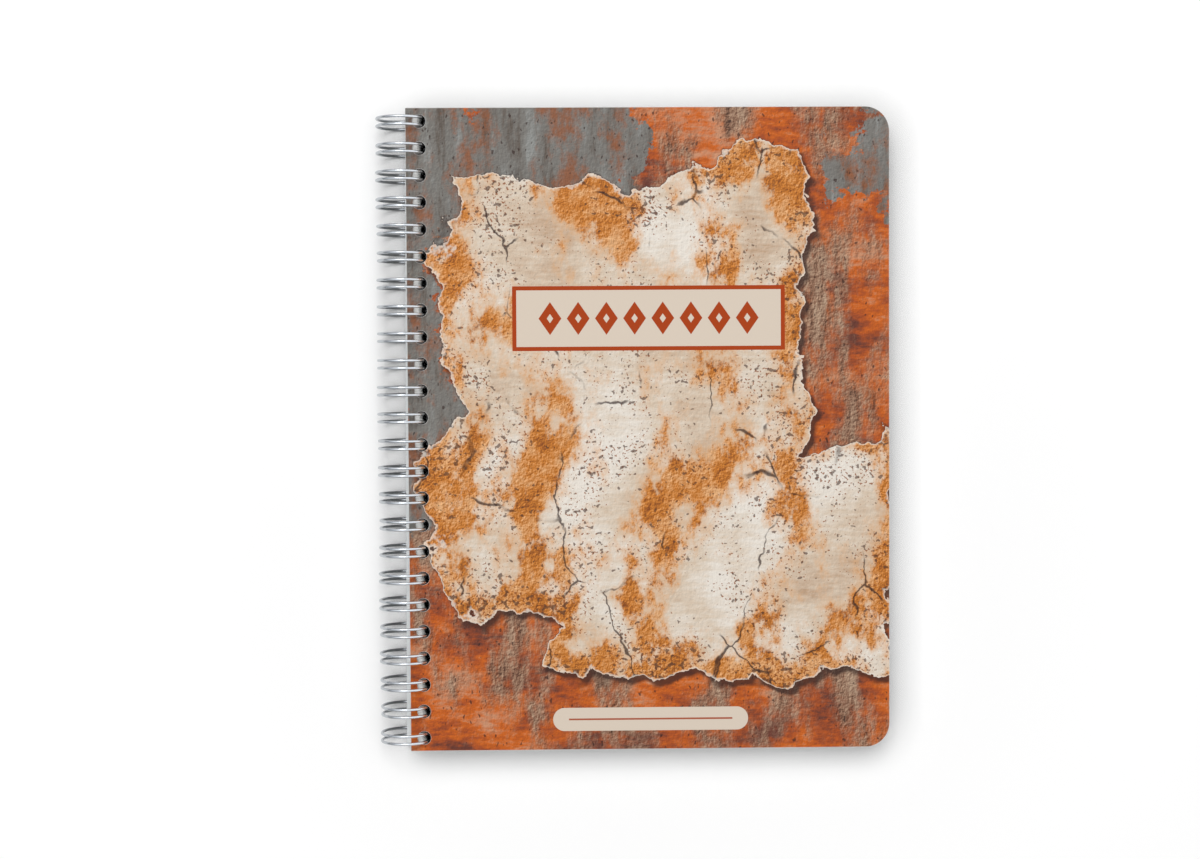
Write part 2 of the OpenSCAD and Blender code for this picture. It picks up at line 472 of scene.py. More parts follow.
def worn_print(wiring, place):
    """The whole worn picture, before the title panel."""
    tone = shades()
    flat = wiring.vector("MULTIPLY", place, (1.0, 1.0, 0.0))
    plaster = ragged_group("Plaster field", PLASTER_BOXES)
    slate = ragged_group("Slate field", SLATE_BOXES)
    rough = relief(wiring, flat)
    depth = ragged(wiring, plaster, flat, 6.0)
    cast = ragged(wiring, plaster, wiring.vector("ADD", flat, CAST), 4.0)
    ground = worn_ground(wiring, flat, rough, ragged(wiring, slate, flat, 3.0))
    shadow = wiring.math("MULTIPLY", wiring.step(cast, -1.8, 0.8), 0.86)
    outline = wiring.math("MULTIPLY", wiring.step(depth, -0.55, -0.1), 0.6)
    ground = wiring.mix(wiring.math("MAXIMUM", shadow, outline), ground, linear(tone.shade))
    face = plaster_colour(wiring, flat, depth, rough)
    face = laid(wiring, crack_lines(wiring, flat), 0.85, face, linear(tone.shade))
    face = laid(wiring, wiring.step(depth, 1.1, 0.2), 0.65, face, linear(tone.cream_pale))
    return wiring.mix(wiring.step(depth, -0.08, 0.12), ground, face)


def flat_shape(wiring, distance):
    """1 where a distance in millimetres is below 0, with a crisp edge."""
    return wiring.step(distance, 0.04, -0.04)


def lozenge_row(wiring, place):
    """Distance outside the lines of a row of open lozenges in the title panel, about in millimetres."""
    across, along, _ = wiring.split(wiring.vector("SUBTRACT", place, (*PANEL_MIDDLE, 0.0)))
    side = wiring.math("ABSOLUTE", wiring.in_row(across, LOZENGE_PITCH, LOZENGE_COUNT))
    reach = wiring.math("ADD", wiring.math("DIVIDE", side, LOZENGE_HALF[0]),
                        wiring.math("DIVIDE", wiring.math("ABSOLUTE", along), LOZENGE_HALF[1]))
    outside = wiring.math("SUBTRACT", reach, 1.0)
    inside = wiring.math("SUBTRACT", 1.0 - LOZENGE_LINE, reach)
    row_end = wiring.math("SUBTRACT", wiring.math("ABSOLUTE", across), LOZENGE_PITCH * LOZENGE_COUNT / 2)
    lines = wiring.math("MAXIMUM", row_end, wiring.math("MAXIMUM", outside, inside))
    return wiring.math("MULTIPLY", lines, LOZENGE_MM)


def with_panels(wiring, place, picture):
    """The title panel with its frame and ornament, and the pale strip at the foot."""
    tone = shades()
    frame_out = box_field(wiring, place, PANEL_MIDDLE, PANEL_HALF)
    frame_in = wiring.math("ADD", frame_out, PANEL_LINE)
    strip = bar_field(wiring, place, STRIP_MIDDLE, STRIP_HALF)
    rule = box_field(wiring, place, STRIP_MIDDLE, RULE_HALF)
    shown = picture
    row = lozenge_row(wiring, place)
    for shape, shade in ((frame_out, tone.ink), (frame_in, tone.panel), (row, tone.ink),
                         (strip, tone.panel), (rule, tone.ink_soft)):
        shown = wiring.mix(flat_shape(wiring, shape), shown, linear(shade))
    return shown


def hole_turn(wiring, place):
    """Distance in millimetres along the spine from the middle of the nearest loop."""
    s = sizes()
    return wiring.math("ABSOLUTE", wiring.in_row(wiring.split(place)[1], s.pitch / MM, s.loop_count))


def rim_distance(wiring, place):
    """Distance in millimetres from the rim of the nearest punched hole, below 0 inside it."""
    side = wiring.math("SUBTRACT", wiring.split(place)[0], hole_inset() / MM)
    return wiring.math("SUBTRACT", wiring.hypotenuse(side, hole_turn(wiring, place)), sizes().hole / 2 / MM)


def front_place(wiring):
    """Object coordinates in millimetres from the middle of the front cover's spine edge."""
    return millimetres(wiring, (FRONT_LOW[0], (FRONT_LOW[1] + FRONT_HIGH[1]) / 2, FRONT_LOW[2]))


def edge_distance(wiring, place):
    """Distance in millimetres to the outline of the cover, below 0 on the card."""
    r = sizes().corner / MM
    width = (FRONT_HIGH[0] - FRONT_LOW[0]) / MM
    half = (FRONT_HIGH[1] - FRONT_LOW[1]) / 2 / MM
    offset = wiring.vector("ABSOLUTE", wiring.vector("SUBTRACT", place, (width / 2 - SPINE_PAST, 0.0, 0.0)))
    across, along, _ = wiring.split(offset)
    right = wiring.math("MAXIMUM", wiring.math("SUBTRACT", across, width / 2 + SPINE_PAST - r), 0.0)
    top = wiring.math("MAXIMUM", wiring.math("SUBTRACT", along, half - r), 0.0)
    rounded = wiring.math("SUBTRACT", wiring.hypotenuse(right, top), r)
    return wiring.math("MAXIMUM", rounded, wiring.math("MULTIPLY", wiring.split(place)[0], -1.0))


def printed_card():
    """Matt coated card: the print on its outer face, and bare card inside, on its cuts and in its holes,
    with painted shade on the walls of its holes.
    """
    tone = shades()
    made, wiring, shader = new_material("printed_card")
    place = front_place(wiring)
    rim = rim_distance(wiring, place)
    bare = wiring.math("MAXIMUM", wiring.step(rim, 0.13, 0.03),
                       wiring.step(edge_distance(wiring, place), -0.20, -0.06))
    outer = with_panels(wiring, place, worn_print(wiring, place))
    outer = laid(wiring, bare, 0.8, outer, linear(tone.card_core))
    fibres = wiring.noise(place, 0.5, detail=3.0, roughness=0.6)
    core = wiring.ramp(fibres, (0.3, dimmed(tone.card_core, 0.95)), (0.7, linear(tone.card_core)))
    # Painted shade on the card's cut walls in and round the holes
    core = wiring.mix(wiring.step(rim, 0.12, 0.02), core, linear(tone.shade))
    face = (FRONT_HIGH[2] - FRONT_LOW[2]) / MM
    printed = wiring.step(wiring.split(place)[2], face - 0.075, face - 0.05)
    wiring.feed(shader.inputs["Base Color"], wiring.mix(printed, core, outer))
    wiring.feed(shader.inputs["Roughness"], wiring.math("MULTIPLY_ADD", fibres, 0.14, 0.46))
    shader.inputs["Specular IOR Level"].default_value = 0.14
    bump(wiring, shader, fibres, 0.12, 0.02 * MM)
    return made


# Sheets

# Steps in the rounded corners of a cover and of a leaf, and sides of their holes
COVER_CORNER_STEPS, COVER_HOLE_SIDES = 24, 40
LEAF_CORNER_STEPS, LEAF_HOLE_SIDES = 6, 12
# Steps in each round part of the opening that takes the seam
SLOT_STEPS = 8
# Mesh corners nearer than this are one
WELD = 1e-7


def hole_inset():
    """From a sheet's spine edge to the middle of its holes."""
    s = sizes()
    return s.hole_margin + s.hole / 2


def loop_places():
    """Where the loops stand along the spine, from its middle."""
    s = sizes()
    return [(i - (s.loop_count - 1) / 2) * s.pitch for i in range(s.loop_count)]


def on_circle(middle, radius, angle):
    """A point on a circle in the plane of a sheet."""
    return middle[0] + radius * math.cos(angle), middle[1] + radius * math.sin(angle)


def sheet_rim(width, height, corner_steps, head=0.0, foot=0.0):
    """Outline of a sheet with round fore-edge corners. head and foot move the ends of its spine edge."""
    r = sizes().corner
    rim = [(head, height / 2), (foot, -height / 2)]
    for side, start in ((-1, -90), (1, 0)):
        middle = (width - r, side * (height / 2 - r))
        for k in range(corner_steps + 1):
            rim.append(on_circle(middle, r, math.radians(start + 90 * k / corner_steps)))
    return rim


def hole_loops(sides):
    """Outlines of a sheet's round holes."""
    radius = sizes().hole / 2
    return [[on_circle((hole_inset(), y), radius, math.tau * k / sides) for k in range(sides)]
            for y in loop_places()]


def slot_loop(middle, half):
    """One opening that joins the holes of a leaf where the seam lies among them, with room for its ends."""
    s = sizes()
    places = loop_places()
    reach = s.strand_gap / 2 + s.bend + s.end_stub + s.seam_clear
    across, r = hole_inset(), s.hole / 2
    right = math.acos(max(-1.0, min(1.0, (middle + half - across) / r)))
    left = math.acos(max(-1.0, min(1.0, (middle - half - across) / r)))
    loop = []
    for y in places:
        angles = [-right + 2 * right * k / SLOT_STEPS for k in range(SLOT_STEPS + 1)]
        loop += [on_circle((across, y), r, angle) for angle in angles]
    loop += [(middle + half, places[-1] + reach), (middle - half, places[-1] + reach)]
    for y in reversed(places):
        angles = [left + (math.tau - 2 * left) * k / SLOT_STEPS for k in range(SLOT_STEPS + 1)]
        loop += [on_circle((across, y), r, angle) for angle in angles]
    return loop + [(middle - half, places[0] - reach), (middle + half, places[0] - reach)]


def sheet_mesh(name, loops, place, thickness, rounding=0.0):
    """A flat sheet. Its first loop is its rim, and place is its spine edge's middle, on its underside."""
    flat = bpy.data.curves.new(name, "CURVE")
    flat.dimensions = "2D"
    flat.fill_mode = "BOTH"
    flat.extrude = thickness / 2 - rounding
    flat.bevel_depth = rounding
    flat.offset = -rounding
    flat.bevel_resolution = 1
    for loop in loops:
        spline = flat.splines.new("POLY")
        spline.points.add(len(loop) - 1)
        spline.use_cyclic_u = True
        for point, (x, y) in zip(spline.points, loop):
            point.co = (x, y, 0.0, 1.0)
    carrier = bpy.data.objects.new(name, flat)
    bpy.context.collection.objects.link(carrier)
    ready = carrier.evaluated_get(bpy.context.evaluated_depsgraph_get())
    mesh = bpy.data.meshes.new_from_object(ready)
    bpy.data.objects.remove(carrier)
    bpy.data.curves.remove(flat)
    work = bmesh.new()
    work.from_mesh(mesh)
    bmesh.ops.remove_doubles(work, verts=work.verts, dist=WELD)
    bmesh.ops.translate(work, verts=work.verts, vec=(place[0], place[1], place[2] + thickness / 2))
    bmesh.ops.recalc_face_normals(work, faces=work.faces)
    work.to_mesh(mesh)
    work.free()
    return mesh


def new_piece(name, mesh, material):
    """A new object with its mesh and its one material."""
    mesh.materials.clear()
    mesh.materials.append(material)
    made = bpy.data.objects.new(name, mesh)
    bpy.context.collection.objects.link(made)
    return made


# Covers


def cover_piece(name, low, high, material, head=0.0, foot=0.0):
    """A cover between two corners of its box. head and foot move the ends of its spine edge."""
    rim = sheet_rim(high[0] - low[0], high[1] - low[1], COVER_CORNER_STEPS, head, foot)
    place = (low[0], (low[1] + high[1]) / 2, low[2])
    loops = [rim] + hole_loops(COVER_HOLE_SIDES)
    return new_piece(name, sheet_mesh(name, loops, place, high[2] - low[2], sizes().edge_round), material)


class NOTEBOOK_OT_front_cover(bpy.types.Operator):
    """Cuts the printed front cover"""

    bl_idname = "notebook.front_cover"
    bl_label = "Front cover"

    def execute(self, context):
        cover = cover_piece("printed_cover", FRONT_LOW, FRONT_HIGH, printed_card())
        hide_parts("front_cover")
        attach(cover, "front")
        return {"FINISHED"}


def backing_material():
    """Stiff pale card with a faint mottle and a few darker fibres."""
    tone = shades()
    made, wiring, shader = new_material("backing_card")
    place = millimetres(wiring, BACK_LOW)
    mottle = wiring.noise(place, 3.5, detail=7.0, roughness=0.7)
    card = wiring.ramp(mottle, (0.3, dimmed(tone.backing, 0.97)), (0.6, linear(tone.backing)))
    fibres = wiring.step(wiring.noise(place, 0.9, detail=2.0, stretch=(0.4, 1.5, 1.0)), 0.71, 0.77)
    wiring.feed(shader.inputs["Base Color"], laid(wiring, fibres, 0.35, card, dimmed(tone.backing, 0.7)))
    wiring.feed(shader.inputs["Roughness"], wiring.math("MULTIPLY_ADD", mottle, 0.15, 0.68))
    shader.inputs["Specular IOR Level"].default_value = 0.3
    bump(wiring, shader, mottle, 0.15, 0.03 * MM)
    return made


class NOTEBOOK_OT_back_cover(bpy.types.Operator):
    """Cuts the plain back cover"""

    bl_idname = "notebook.back_cover"
    bl_label = "Back cover"

    def execute(self, context):
        s = sizes()
        card = backing_material()
        cover = cover_piece("backing_cover", BACK_LOW, BACK_HIGH, card, s.skew_top, -s.skew_foot)
        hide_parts("back_cover")
        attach(cover, "back")
        return {"FINISHED"}


# Geometry node trees


def end_tree(wiring, geometry, material):
    """Ends a tree in real geometry with its material."""
    real = wiring.add("GeometryNodeRealizeInstances", {"Geometry": geometry})
    dressed = wiring.add("GeometryNodeSetMaterial", {"Geometry": real.outputs[0], "Material": material})
    wiring.feed(wiring.add("NodeGroupOutput").inputs[0], dressed.outputs[0])


def baked(carrier, tree, inputs):
    """Runs a tree on an object and returns the result as a plain mesh."""
    modifier = carrier.modifiers.new(tree.name, "NODES")
    modifier.node_group = tree
    for item in tree.interface.items_tree:
        if item.in_out == "INPUT" and item.name in inputs:
            modifier[item.identifier] = inputs[item.name]
    ready = carrier.evaluated_get(bpy.context.evaluated_depsgraph_get())
    mesh = bpy.data.meshes.new_from_object(ready)
    carrier.modifiers.clear()
    bpy.data.objects.remove(carrier)
    return mesh


# Leaves

LEAF_SEED = 7


def wire_radius():
    """From the hinge to the middle of the wire."""
    return (WIRE_HIGH[0] - WIRE_LOW[0]) / 2 - sizes().wire / 2


def leaf_edge(height):
    """X of a leaf's spine edge at a height, as its holes follow the wire."""
    level = height - HINGE[2]
    return HINGE[0] + math.sqrt(wire_radius() ** 2 - level ** 2) + sizes().page_lag - hole_inset()


def seam_numbers():
    """Angles of a strand's two ends and of the seam round the hinge, in radians, and the seam's radius."""
    s = sizes()
    r = wire_radius()
    seam_r = math.hypot(r, s.bend)
    seam_at = math.asin((PAGES_LOW[2] - HINGE[2] + s.wire / 2 + s.seam_clear / 2) / seam_r)
    end = math.tau + seam_at - math.atan(s.bend / r)
    start = seam_at + math.atan(s.strand_gap / 2 / r) + (s.wire + s.seam_gap) / r
    return start, end, seam_at, seam_r


def leaf_tree(material):
    """Geometry nodes that lay copies of a leaf one on another, with their holes following the wire."""
    tree = bpy.data.node_groups.new("Leaves on the wire", "GeometryNodeTree")
    lengths = [(name, "Float") for name in ("Spacing", "First level", "Wire radius", "Shift")]
    inputs = [("Leaf", "Geometry"), ("Count", "Int"), *lengths, ("Seed", "Int")]
    open_sockets(tree, inputs, [("Leaves", "Geometry")])
    wiring = Wiring(tree)
    given = wiring.add("NodeGroupInput").outputs
    index = wiring.add("GeometryNodeInputIndex").outputs[0]
    level = wiring.math("MULTIPLY_ADD", index, given["Spacing"], given["First level"])
    squares = [wiring.math("POWER", value, 2.0) for value in (given["Wire radius"], level)]
    across = wiring.math("SQRT", wiring.math("SUBTRACT", *squares))
    back = wiring.math("MULTIPLY", given["Shift"], -1.0)
    low = wiring.add("ShaderNodeCombineXYZ", {"X": back, "Y": back})
    high = wiring.add("ShaderNodeCombineXYZ", {"X": given["Shift"], "Y": given["Shift"]})
    bounds = {0: low.outputs[0], 1: high.outputs[0], "ID": index, "Seed": given["Seed"]}
    chance = wiring.add("FunctionNodeRandomValue", bounds, data_type="FLOAT_VECTOR")
    place = wiring.add("ShaderNodeCombineXYZ", {"X": across, "Z": level})
    shifted = wiring.vector("ADD", place.outputs[0], chance.outputs[0])
    line = wiring.add("GeometryNodeMeshLine", {"Count": given["Count"]})
    spots = wiring.add("GeometryNodeSetPosition", {"Geometry": line.outputs[0], "Position": shifted})
    laying = {"Points": spots.outputs[0], "Instance": given["Leaf"]}
    copies = wiring.add("GeometryNodeInstanceOnPoints", laying)
    end_tree(wiring, copies.outputs[0], material)
    return tree


def leaf_paper():
    """Uncoated paper, with fine lines on its cut edges and painted shade inside the front cover's holes,
    beside the wire.
    """
    tone = shades()
    made, wiring, shader = new_material("page_paper")
    place = millimetres(wiring, PAGES_LOW)
    fibres = wiring.noise(place, 0.35, detail=4.0, roughness=0.7)
    cloud = wiring.noise(place, 28.0, detail=3.0)
    value = wiring.math("ADD", wiring.math("MULTIPLY", fibres, 0.6), wiring.math("MULTIPLY", cloud, 0.4))
    shown = wiring.ramp(value, (0.3, dimmed(tone.paper, 0.965)), (0.65, linear(tone.paper)))
    top = (PAGES_HIGH[2] - PAGES_LOW[2]) / MM
    below_top = wiring.step(wiring.split(place)[2], top - 0.04, top - 0.12)
    lines = wiring.noise(place, 0.32, detail=2.0, roughness=0.7, stretch=(0.012, 0.012, 1.0))
    lines = wiring.math("MULTIPLY", wiring.step(lines, 0.62, 0.40), below_top)
    shown = lit(wiring, shown, wiring.math("MULTIPLY_ADD", lines, -0.13, 1.0))
    # Painted shade on the paper inside the front cover's holes, either side of the wire's strands
    over = front_place(wiring)
    beside_loop = wiring.step(hole_turn(wiring, over), 1.15, 1.55)
    in_hole = wiring.step(rim_distance(wiring, over), 0.30, 0.0)
    corners = wiring.math("MULTIPLY", beside_loop, in_hole)
    wiring.feed(shader.inputs["Base Color"], laid(wiring, corners, 0.85, shown, linear(tone.shade)))
    wiring.feed(shader.inputs["Roughness"], wiring.math("MULTIPLY_ADD", fibres, 0.1, 0.8))
    shader.inputs["Specular IOR Level"].default_value = 0.25
    bump(wiring, shader, fibres, 0.2, 0.02 * MM)
    return made


def leaf_rim():
    """Outline of a leaf."""
    return sheet_rim(sizes().page_w, PAGES_HIGH[1] - PAGES_LOW[1], LEAF_CORNER_STEPS)


def upper_leaves(material, first, spacing, count):
    """The leaves above the seam, all alike, laid by geometry nodes."""
    s = sizes()
    origin = (HINGE[0] + s.page_lag - hole_inset(), 0.0, HINGE[2])
    rims = [leaf_rim()] + hole_loops(LEAF_HOLE_SIDES)
    leaf = new_piece("leaf", sheet_mesh("leaf", rims, origin, spacing - s.leaf_gap), material)
    inputs = {"Count": count, "Spacing": spacing, "First level": first - HINGE[2],
              "Wire radius": wire_radius(), "Shift": s.leaf_shift, "Seed": LEAF_SEED}
    return baked(leaf, leaf_tree(material), inputs)


def lower_leaf(index, spacing):
    """A leaf beside the seam, with its holes joined by the channel that the seam lies in."""
    s = sizes()
    bottom = PAGES_LOW[2] + index * spacing
    edge = leaf_edge(bottom + spacing / 2)
    _, _, seam_at, seam_r = seam_numbers()
    middle = HINGE[0] + seam_r * math.cos(seam_at) - edge
    loops = [leaf_rim(), slot_loop(middle, s.wire / 2 + s.seam_clear)]
    return sheet_mesh("leaf_low", loops, (edge, 0.0, bottom), spacing - s.leaf_gap)


class NOTEBOOK_OT_pages(bpy.types.Operator):
    """Lays the leaves of the page block round the wire"""

    bl_idname = "notebook.pages"
    bl_label = "Page block"

    def execute(self, context):
        s = sizes()
        paper = leaf_paper()
        spacing = (PAGES_HIGH[2] - PAGES_LOW[2]) / s.leaves
        low_count = math.ceil((s.wire + 2 * s.seam_clear) / spacing)
        first = PAGES_LOW[2] + low_count * spacing
        work = bmesh.new()
        work.from_mesh(upper_leaves(paper, first, spacing, s.leaves - low_count))
        for index in range(low_count):
            work.from_mesh(lower_leaf(index, spacing))
        mesh = bpy.data.meshes.new("leaves")
        work.to_mesh(mesh)
        work.free()
        leaves = new_piece("leaves", mesh, paper)
        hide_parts("page_block")
        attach(leaves, "bound_pages")
        return {"FINISHED"}


# Wire

# Steps along a strand, round a bend into the seam and round a closed end, and sides of the wire
STRAND_STEPS, BEND_STEPS, CLOSED_END_STEPS, WIRE_SIDES = 60, 8, 12, 14
LOOP_SEED = 11

# Painted shade on the wire near the table: heights in millimetres between which the wire brightens, and the
# share of light it has below them
PAINTED_SHADE_FULL_HEIGHT, PAINTED_SHADE_END_HEIGHT, LIGHT_LEFT_IN_PAINTED_SHADE = 1.0, 8.5, 0.42
# Millimetres across the loops between which a strand goes into the holes, and how much painted shade
# darkens it there
OUT_OF_HOLE, IN_HOLE, HOLE_PAINTED_SHADE = 11.0, 13.0, 0.85


def steel_material():
    """Bright drawn steel, a little uneven, with painted shade near the table and where it goes into the
    holes.
    """
    tone = shades()
    made, wiring, shader = new_material("binding_wire")
    place = millimetres(wiring, WIRE_LOW)
    draw = wiring.noise(place, 1.6, detail=4.0, roughness=0.6)
    steel = wiring.ramp(draw, (0.3, dimmed(tone.steel, 0.93)), (0.7, linear(tone.steel)))
    across, _, height = wiring.split(place)
    # Painted shade: the steel's colour is darker low down, near the table, and brightens higher up
    bright = wiring.step(height, PAINTED_SHADE_FULL_HEIGHT, PAINTED_SHADE_END_HEIGHT)
    steel = lit(wiring, steel, wiring.math("MULTIPLY_ADD", bright, 1.0 - LIGHT_LEFT_IN_PAINTED_SHADE, LIGHT_LEFT_IN_PAINTED_SHADE))
    # Painted shade on the strands where they pass under the front cover into the holes
    top = (FRONT_HIGH[2] - WIRE_LOW[2]) / MM
    under_top = wiring.step(height, top + 0.5, top - 0.9)
    inside = wiring.math("MULTIPLY", under_top, wiring.step(across, OUT_OF_HOLE, IN_HOLE))
    steel = lit(wiring, steel, wiring.math("MULTIPLY_ADD", inside, -HOLE_PAINTED_SHADE, 1.0))
    wiring.feed(shader.inputs["Base Color"], steel)
    wiring.feed(shader.inputs["Roughness"], wiring.math("MULTIPLY_ADD", draw, 0.12, 0.16))
    shader.inputs["Metallic"].default_value = 1.0
    return made


def loop_path(middle, lean):
    """Points of one loop from the bend where it leaves the seam to the bend where it returns."""
    s = sizes()
    r = wire_radius()
    start, end, _, _ = seam_numbers()
    half, bend = s.strand_gap / 2, s.bend
    points = []

    def add(angle, along, forward=0.0):
        """A point at an angle round the hinge, moved along the spine and forward on the tangent."""
        x = r * math.cos(angle) - forward * math.sin(angle)
        z = r * math.sin(angle) + forward * math.cos(angle)
        outside = max(0.0, -x / r) ** 2
        points.append((HINGE[0] + x + lean[0] * outside, middle + along + lean[1] * outside, HINGE[2] + z))

    for k in range(BEND_STEPS):
        a = math.pi / 2 * k / BEND_STEPS
        add(end, -half - bend * (1 - math.sin(a)), bend * math.cos(a))
    for k in range(STRAND_STEPS + 1):
        add(end + (start - end) * k / STRAND_STEPS, -half)
    for k in range(1, CLOSED_END_STEPS):
        a = math.pi * k / CLOSED_END_STEPS
        add(start, -half * math.cos(a), -half * math.sin(a))
    for k in range(STRAND_STEPS + 1):
        add(start + (end - start) * k / STRAND_STEPS, half)
    for k in range(1, BEND_STEPS + 1):
        a = math.pi / 2 * (1 - k / BEND_STEPS)
        add(end, half + bend * (1 - math.sin(a)), bend * math.cos(a))
    return points


def wire_path():
    """Points of the whole wire, from one cut end to the other."""
    s = sizes()
    chance = random.Random(LOOP_SEED)
    path = []
    for y in loop_places():
        lean = (chance.uniform(-s.sway, s.sway), chance.uniform(-s.lean, s.lean))
        path += loop_path(y, lean)
    first, last = path[0], path[-1]
    path.insert(0, (first[0], first[1] - s.end_stub, first[2]))
    path.append((last[0], last[1] + s.end_stub, last[2]))
    return path


def wire_tree(material):
    """Geometry nodes that give a path its round section."""
    tree = bpy.data.node_groups.new("Round wire", "GeometryNodeTree")
    inputs = [("Path", "Geometry"), ("Radius", "Float"), ("Sides", "Int")]
    open_sockets(tree, inputs, [("Wire", "Geometry")])
    wiring = Wiring(tree)
    given = wiring.add("NodeGroupInput").outputs
    measures = {"Radius": given["Radius"], "Resolution": given["Sides"]}
    section = wiring.add("GeometryNodeCurvePrimitiveCircle", measures)
    sweep = {"Curve": given["Path"], "Profile Curve": section.outputs[0], "Fill Caps": True}
    swept = wiring.add("GeometryNodeCurveToMesh", sweep)
    smooth = wiring.add("GeometryNodeSetShadeSmooth", {"Geometry": swept.outputs[0]})
    end_tree(wiring, smooth.outputs[0], material)
    return tree


class NOTEBOOK_OT_wire(bpy.types.Operator):
    """Bends the twin-loop wire in one length"""

    bl_idname = "notebook.wire"
    bl_label = "Twin-loop wire"

    def execute(self, context):
        steel = steel_material()
        path = wire_path()
        line = bpy.data.curves.new("wire_path", "CURVE")
        line.dimensions = "3D"
        spline = line.splines.new("POLY")
        spline.points.add(len(path) - 1)
        for point, place in zip(spline.points, path):
            point.co = (*place, 1.0)
        carrier = bpy.data.objects.new("wire_path", line)
        context.collection.objects.link(carrier)
        mesh = baked(carrier, wire_tree(steel), {"Radius": sizes().wire / 2, "Sides": WIRE_SIDES})
        work = bmesh.new()
        work.from_mesh(mesh)
        bmesh.ops.recalc_face_normals(work, faces=work.faces)
        work.to_mesh(mesh)
        work.free()
        wire = new_piece("binding_wire", mesh, steel)
        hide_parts("twin_loop_wire")
        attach(wire, "bound_pages")
        return {"FINISHED"}


# Stage

# Half the side of the square floor
FLOOR_HALF = 6.0
# Painted contact shade on the floor: how far the object shades it, from which side, and the share of light
# left where it is darkest
SHADE_REACH, SHADE_LOOK, SHADE_LEFT = 14 * MM, (-0.36, 0.22, 0.907), 0.46
# How bright the camera sees the floor, how much it gains past the shadow, and between which distances
FLOOR_LIFT, FLOOR_GAIN, GAIN_FROM, GAIN_TO = 1.22, 0.045, 0.10, 0.20
# Distances between which the floor turns plain white
NEAR_FLOOR, FAR_FLOOR = 0.35, 0.90

# Light of the sky low down and high up, as shares of its strength, and the heights between which it grows
SKY_LOW, SKY_HIGH, LOW_UP_TO, HIGH_FROM = 0.12, 1.75, 0.50, 0.80
# What gloss reflects of the sky, from low down upwards
GLOSS_SKY = ((0.45, (0.10, 0.11, 0.12, 1.0)), (0.62, (0.28, 0.29, 0.31, 1.0)),
             (0.80, (0.77, 0.79, 0.82, 1.0)), (0.95, (1.27, 1.29, 1.31, 1.0)))
# How much higher in those bands gloss looks towards the right and towards the head
GLOSS_RIGHT, GLOSS_HEAD = 0.90, 0.07

# The key lamp's side, its place, and its turn in degrees
KEY_SIZE, KEY_PLACE, KEY_TURN = 0.7, (-0.14, 0.64, 1.35), (-25, -6, 0)


def floor_material():
    """A pale floor that the camera sees as white, with the object's shadow kept, painted contact shade
    beside the object and no far horizon.
    """
    made, wiring, shader = new_material("floor")
    wiring.tree.nodes.remove(shader)
    base = linear(shades().floor)
    # Painted shade: ambient occlusion darkens the floor's colour beside the object, as the camera sees it
    look = wiring.add("ShaderNodeCombineXYZ", dict(zip("XYZ", SHADE_LOOK))).outputs[0]
    shelter = wiring.add("ShaderNodeAmbientOcclusion", {"Distance": SHADE_REACH, "Normal": look}, samples=1)
    painted_contact_shade = wiring.math("MULTIPLY_ADD", shelter.outputs["AO"], 1.0 - SHADE_LEFT, SHADE_LEFT)
    place = wiring.add("ShaderNodeTexCoord").outputs["Object"]
    away = wiring.add("ShaderNodeVectorMath", {0: place}, operation="LENGTH").outputs["Value"]
    gain = wiring.math("MULTIPLY_ADD", wiring.step(away, GAIN_FROM, GAIN_TO), FLOOR_GAIN, 1.0)
    lifted = lit(wiring, tuple(c * FLOOR_LIFT for c in base[:3]), wiring.math("MULTIPLY", painted_contact_shade, gain))
    plain = wiring.add("ShaderNodeBsdfDiffuse", {"Color": base})
    near = wiring.add("ShaderNodeBsdfDiffuse", {"Color": lifted})
    far = wiring.add("ShaderNodeEmission")
    fade = wiring.step(away, NEAR_FLOOR, FAR_FLOOR)
    shown = wiring.add("ShaderNodeMixShader", {0: fade, 1: near.outputs[0], 2: far.outputs[0]})
    seen = wiring.add("ShaderNodeLightPath").outputs["Is Camera Ray"]
    both = wiring.add("ShaderNodeMixShader", {0: seen, 1: plain.outputs[0], 2: shown.outputs[0]})
    output = next(n for n in made.node_tree.nodes if n.type == "OUTPUT_MATERIAL")
    wiring.feed(output.inputs[0], both.outputs[0])
    return made


def sky_world(strength):
    """Light that comes mostly from high up, white to the camera, in bands for the wire's reflections."""
    world = bpy.data.worlds.new("sky")
    world.use_nodes = True
    world.node_tree.nodes.clear()
    wiring = Wiring(world.node_tree)
    rays = wiring.add("ShaderNodeLightPath").outputs
    right, head, up = wiring.split(wiring.add("ShaderNodeTexCoord").outputs["Generated"])
    height = wiring.math("MULTIPLY_ADD", up, 0.5, 0.5)
    side = wiring.math("MULTIPLY", wiring.math("MAXIMUM", right, 0.0), wiring.math("SUBTRACT", 1.0, height))
    height = wiring.math("MULTIPLY_ADD", head, GLOSS_HEAD, height)
    height = wiring.math("MULTIPLY_ADD", side, GLOSS_RIGHT, height)
    low, high = SKY_LOW * strength, SKY_HIGH * strength
    even = wiring.ramp(up, (LOW_UP_TO, (low, low, low, 1.0)), (HIGH_FROM, (high, high, high, 1.0)))
    light = wiring.mix(rays["Is Glossy Ray"], even, wiring.ramp(height, *GLOSS_SKY))
    light = wiring.mix(rays["Is Camera Ray"], light, (1.0, 1.0, 1.0, 1.0))
    output = wiring.add("ShaderNodeOutputWorld")
    wiring.feed(output.inputs[0], wiring.add("ShaderNodeBackground", {"Color": light}).outputs[0])
    return world


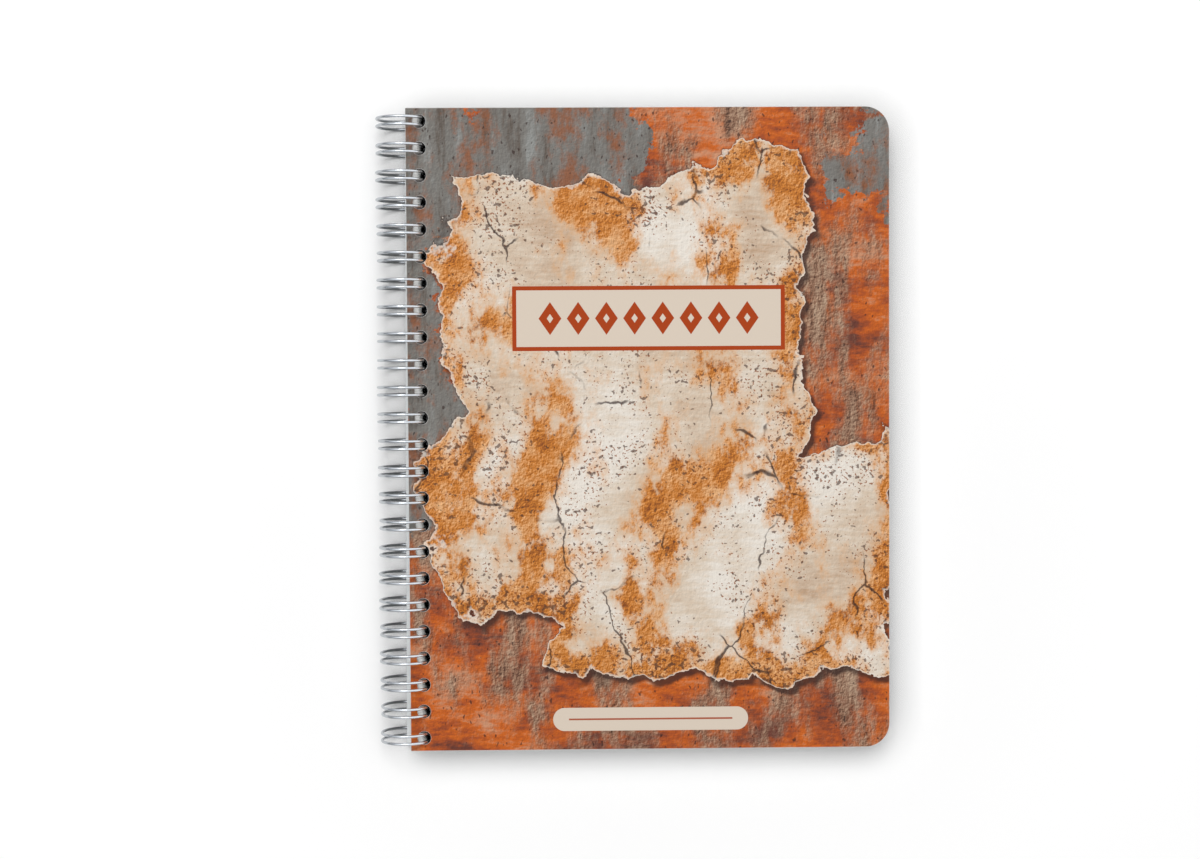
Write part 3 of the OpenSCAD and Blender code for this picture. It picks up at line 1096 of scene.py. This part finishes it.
class NOTEBOOK_OT_stage(bpy.types.Operator):
    """Sets the floor, the lights and the camera"""

    bl_idname = "notebook.stage"
    bl_label = "Stage"

    def execute(self, context):
        scene = context.scene
        stage = scene.notebook_stage
        mesh = bpy.data.meshes.new("floor")
        corners = [(x * FLOOR_HALF, y * FLOOR_HALF, 0) for x, y in ((-1, -1), (1, -1), (1, 1), (-1, 1))]
        mesh.from_pydata(corners, [], [(0, 1, 2, 3)])
        new_piece("floor", mesh, floor_material())
        scene.world = sky_world(stage.sky)
        lamp = bpy.data.lights.new("key", "AREA")
        lamp.energy = stage.key_power
        lamp.size = KEY_SIZE
        key = bpy.data.objects.new("key", lamp)
        key.location = KEY_PLACE
        key.rotation_euler = [math.radians(turn) for turn in KEY_TURN]
        context.collection.objects.link(key)
        camera = bpy.data.cameras.new("camera")
        camera.sensor_fit = "HORIZONTAL"
        camera.sensor_width = 36.0
        camera.lens = stage.lens
        camera.clip_start = 0.01
        view = bpy.data.objects.new("camera", camera)
        view.location = stage.camera_place
        view.rotation_euler = stage.camera_turn
        context.collection.objects.link(view)
        scene.camera = view
        scene.view_settings.view_transform = "Standard"
        return {"FINISHED"}


class NOTEBOOK_PT_panel(bpy.types.Panel):
    """Lists what the notebook is made of"""

    bl_idname = "NOTEBOOK_PT_panel"
    bl_label = "Notebook"
    bl_space_type = "VIEW_3D"
    bl_region_type = "UI"
    bl_category = "Notebook"

    def draw(self, context):
        scene = context.scene
        for group in (scene.notebook_sizes, scene.notebook_colours, scene.notebook_stage):
            for name in group.__annotations__:
                self.layout.prop(group, name)
        for name in ("stage", "front_cover", "pages", "back_cover", "wire"):
            self.layout.operator("notebook." + name)


CLASSES = (NotebookSizes, NotebookColours, NotebookStage, NOTEBOOK_OT_stage, NOTEBOOK_OT_front_cover,
           NOTEBOOK_OT_pages, NOTEBOOK_OT_back_cover, NOTEBOOK_OT_wire, NOTEBOOK_PT_panel)


def register():
    for one in CLASSES:
        bpy.utils.register_class(one)
    bpy.types.Scene.notebook_sizes = PointerProperty(type=NotebookSizes)
    bpy.types.Scene.notebook_colours = PointerProperty(type=NotebookColours)
    bpy.types.Scene.notebook_stage = PointerProperty(type=NotebookStage)


def unregister():
    del bpy.types.Scene.notebook_stage
    del bpy.types.Scene.notebook_colours
    del bpy.types.Scene.notebook_sizes
    for one in reversed(CLASSES):
        bpy.utils.unregister_class(one)


def main():
    """Builds the notebook and its stage."""
    register()
    bpy.ops.notebook.stage()
    bpy.ops.notebook.front_cover()
    bpy.ops.notebook.pages()
    bpy.ops.notebook.back_cover()
    bpy.ops.notebook.wire()


if __name__ == "__main__":
    main()
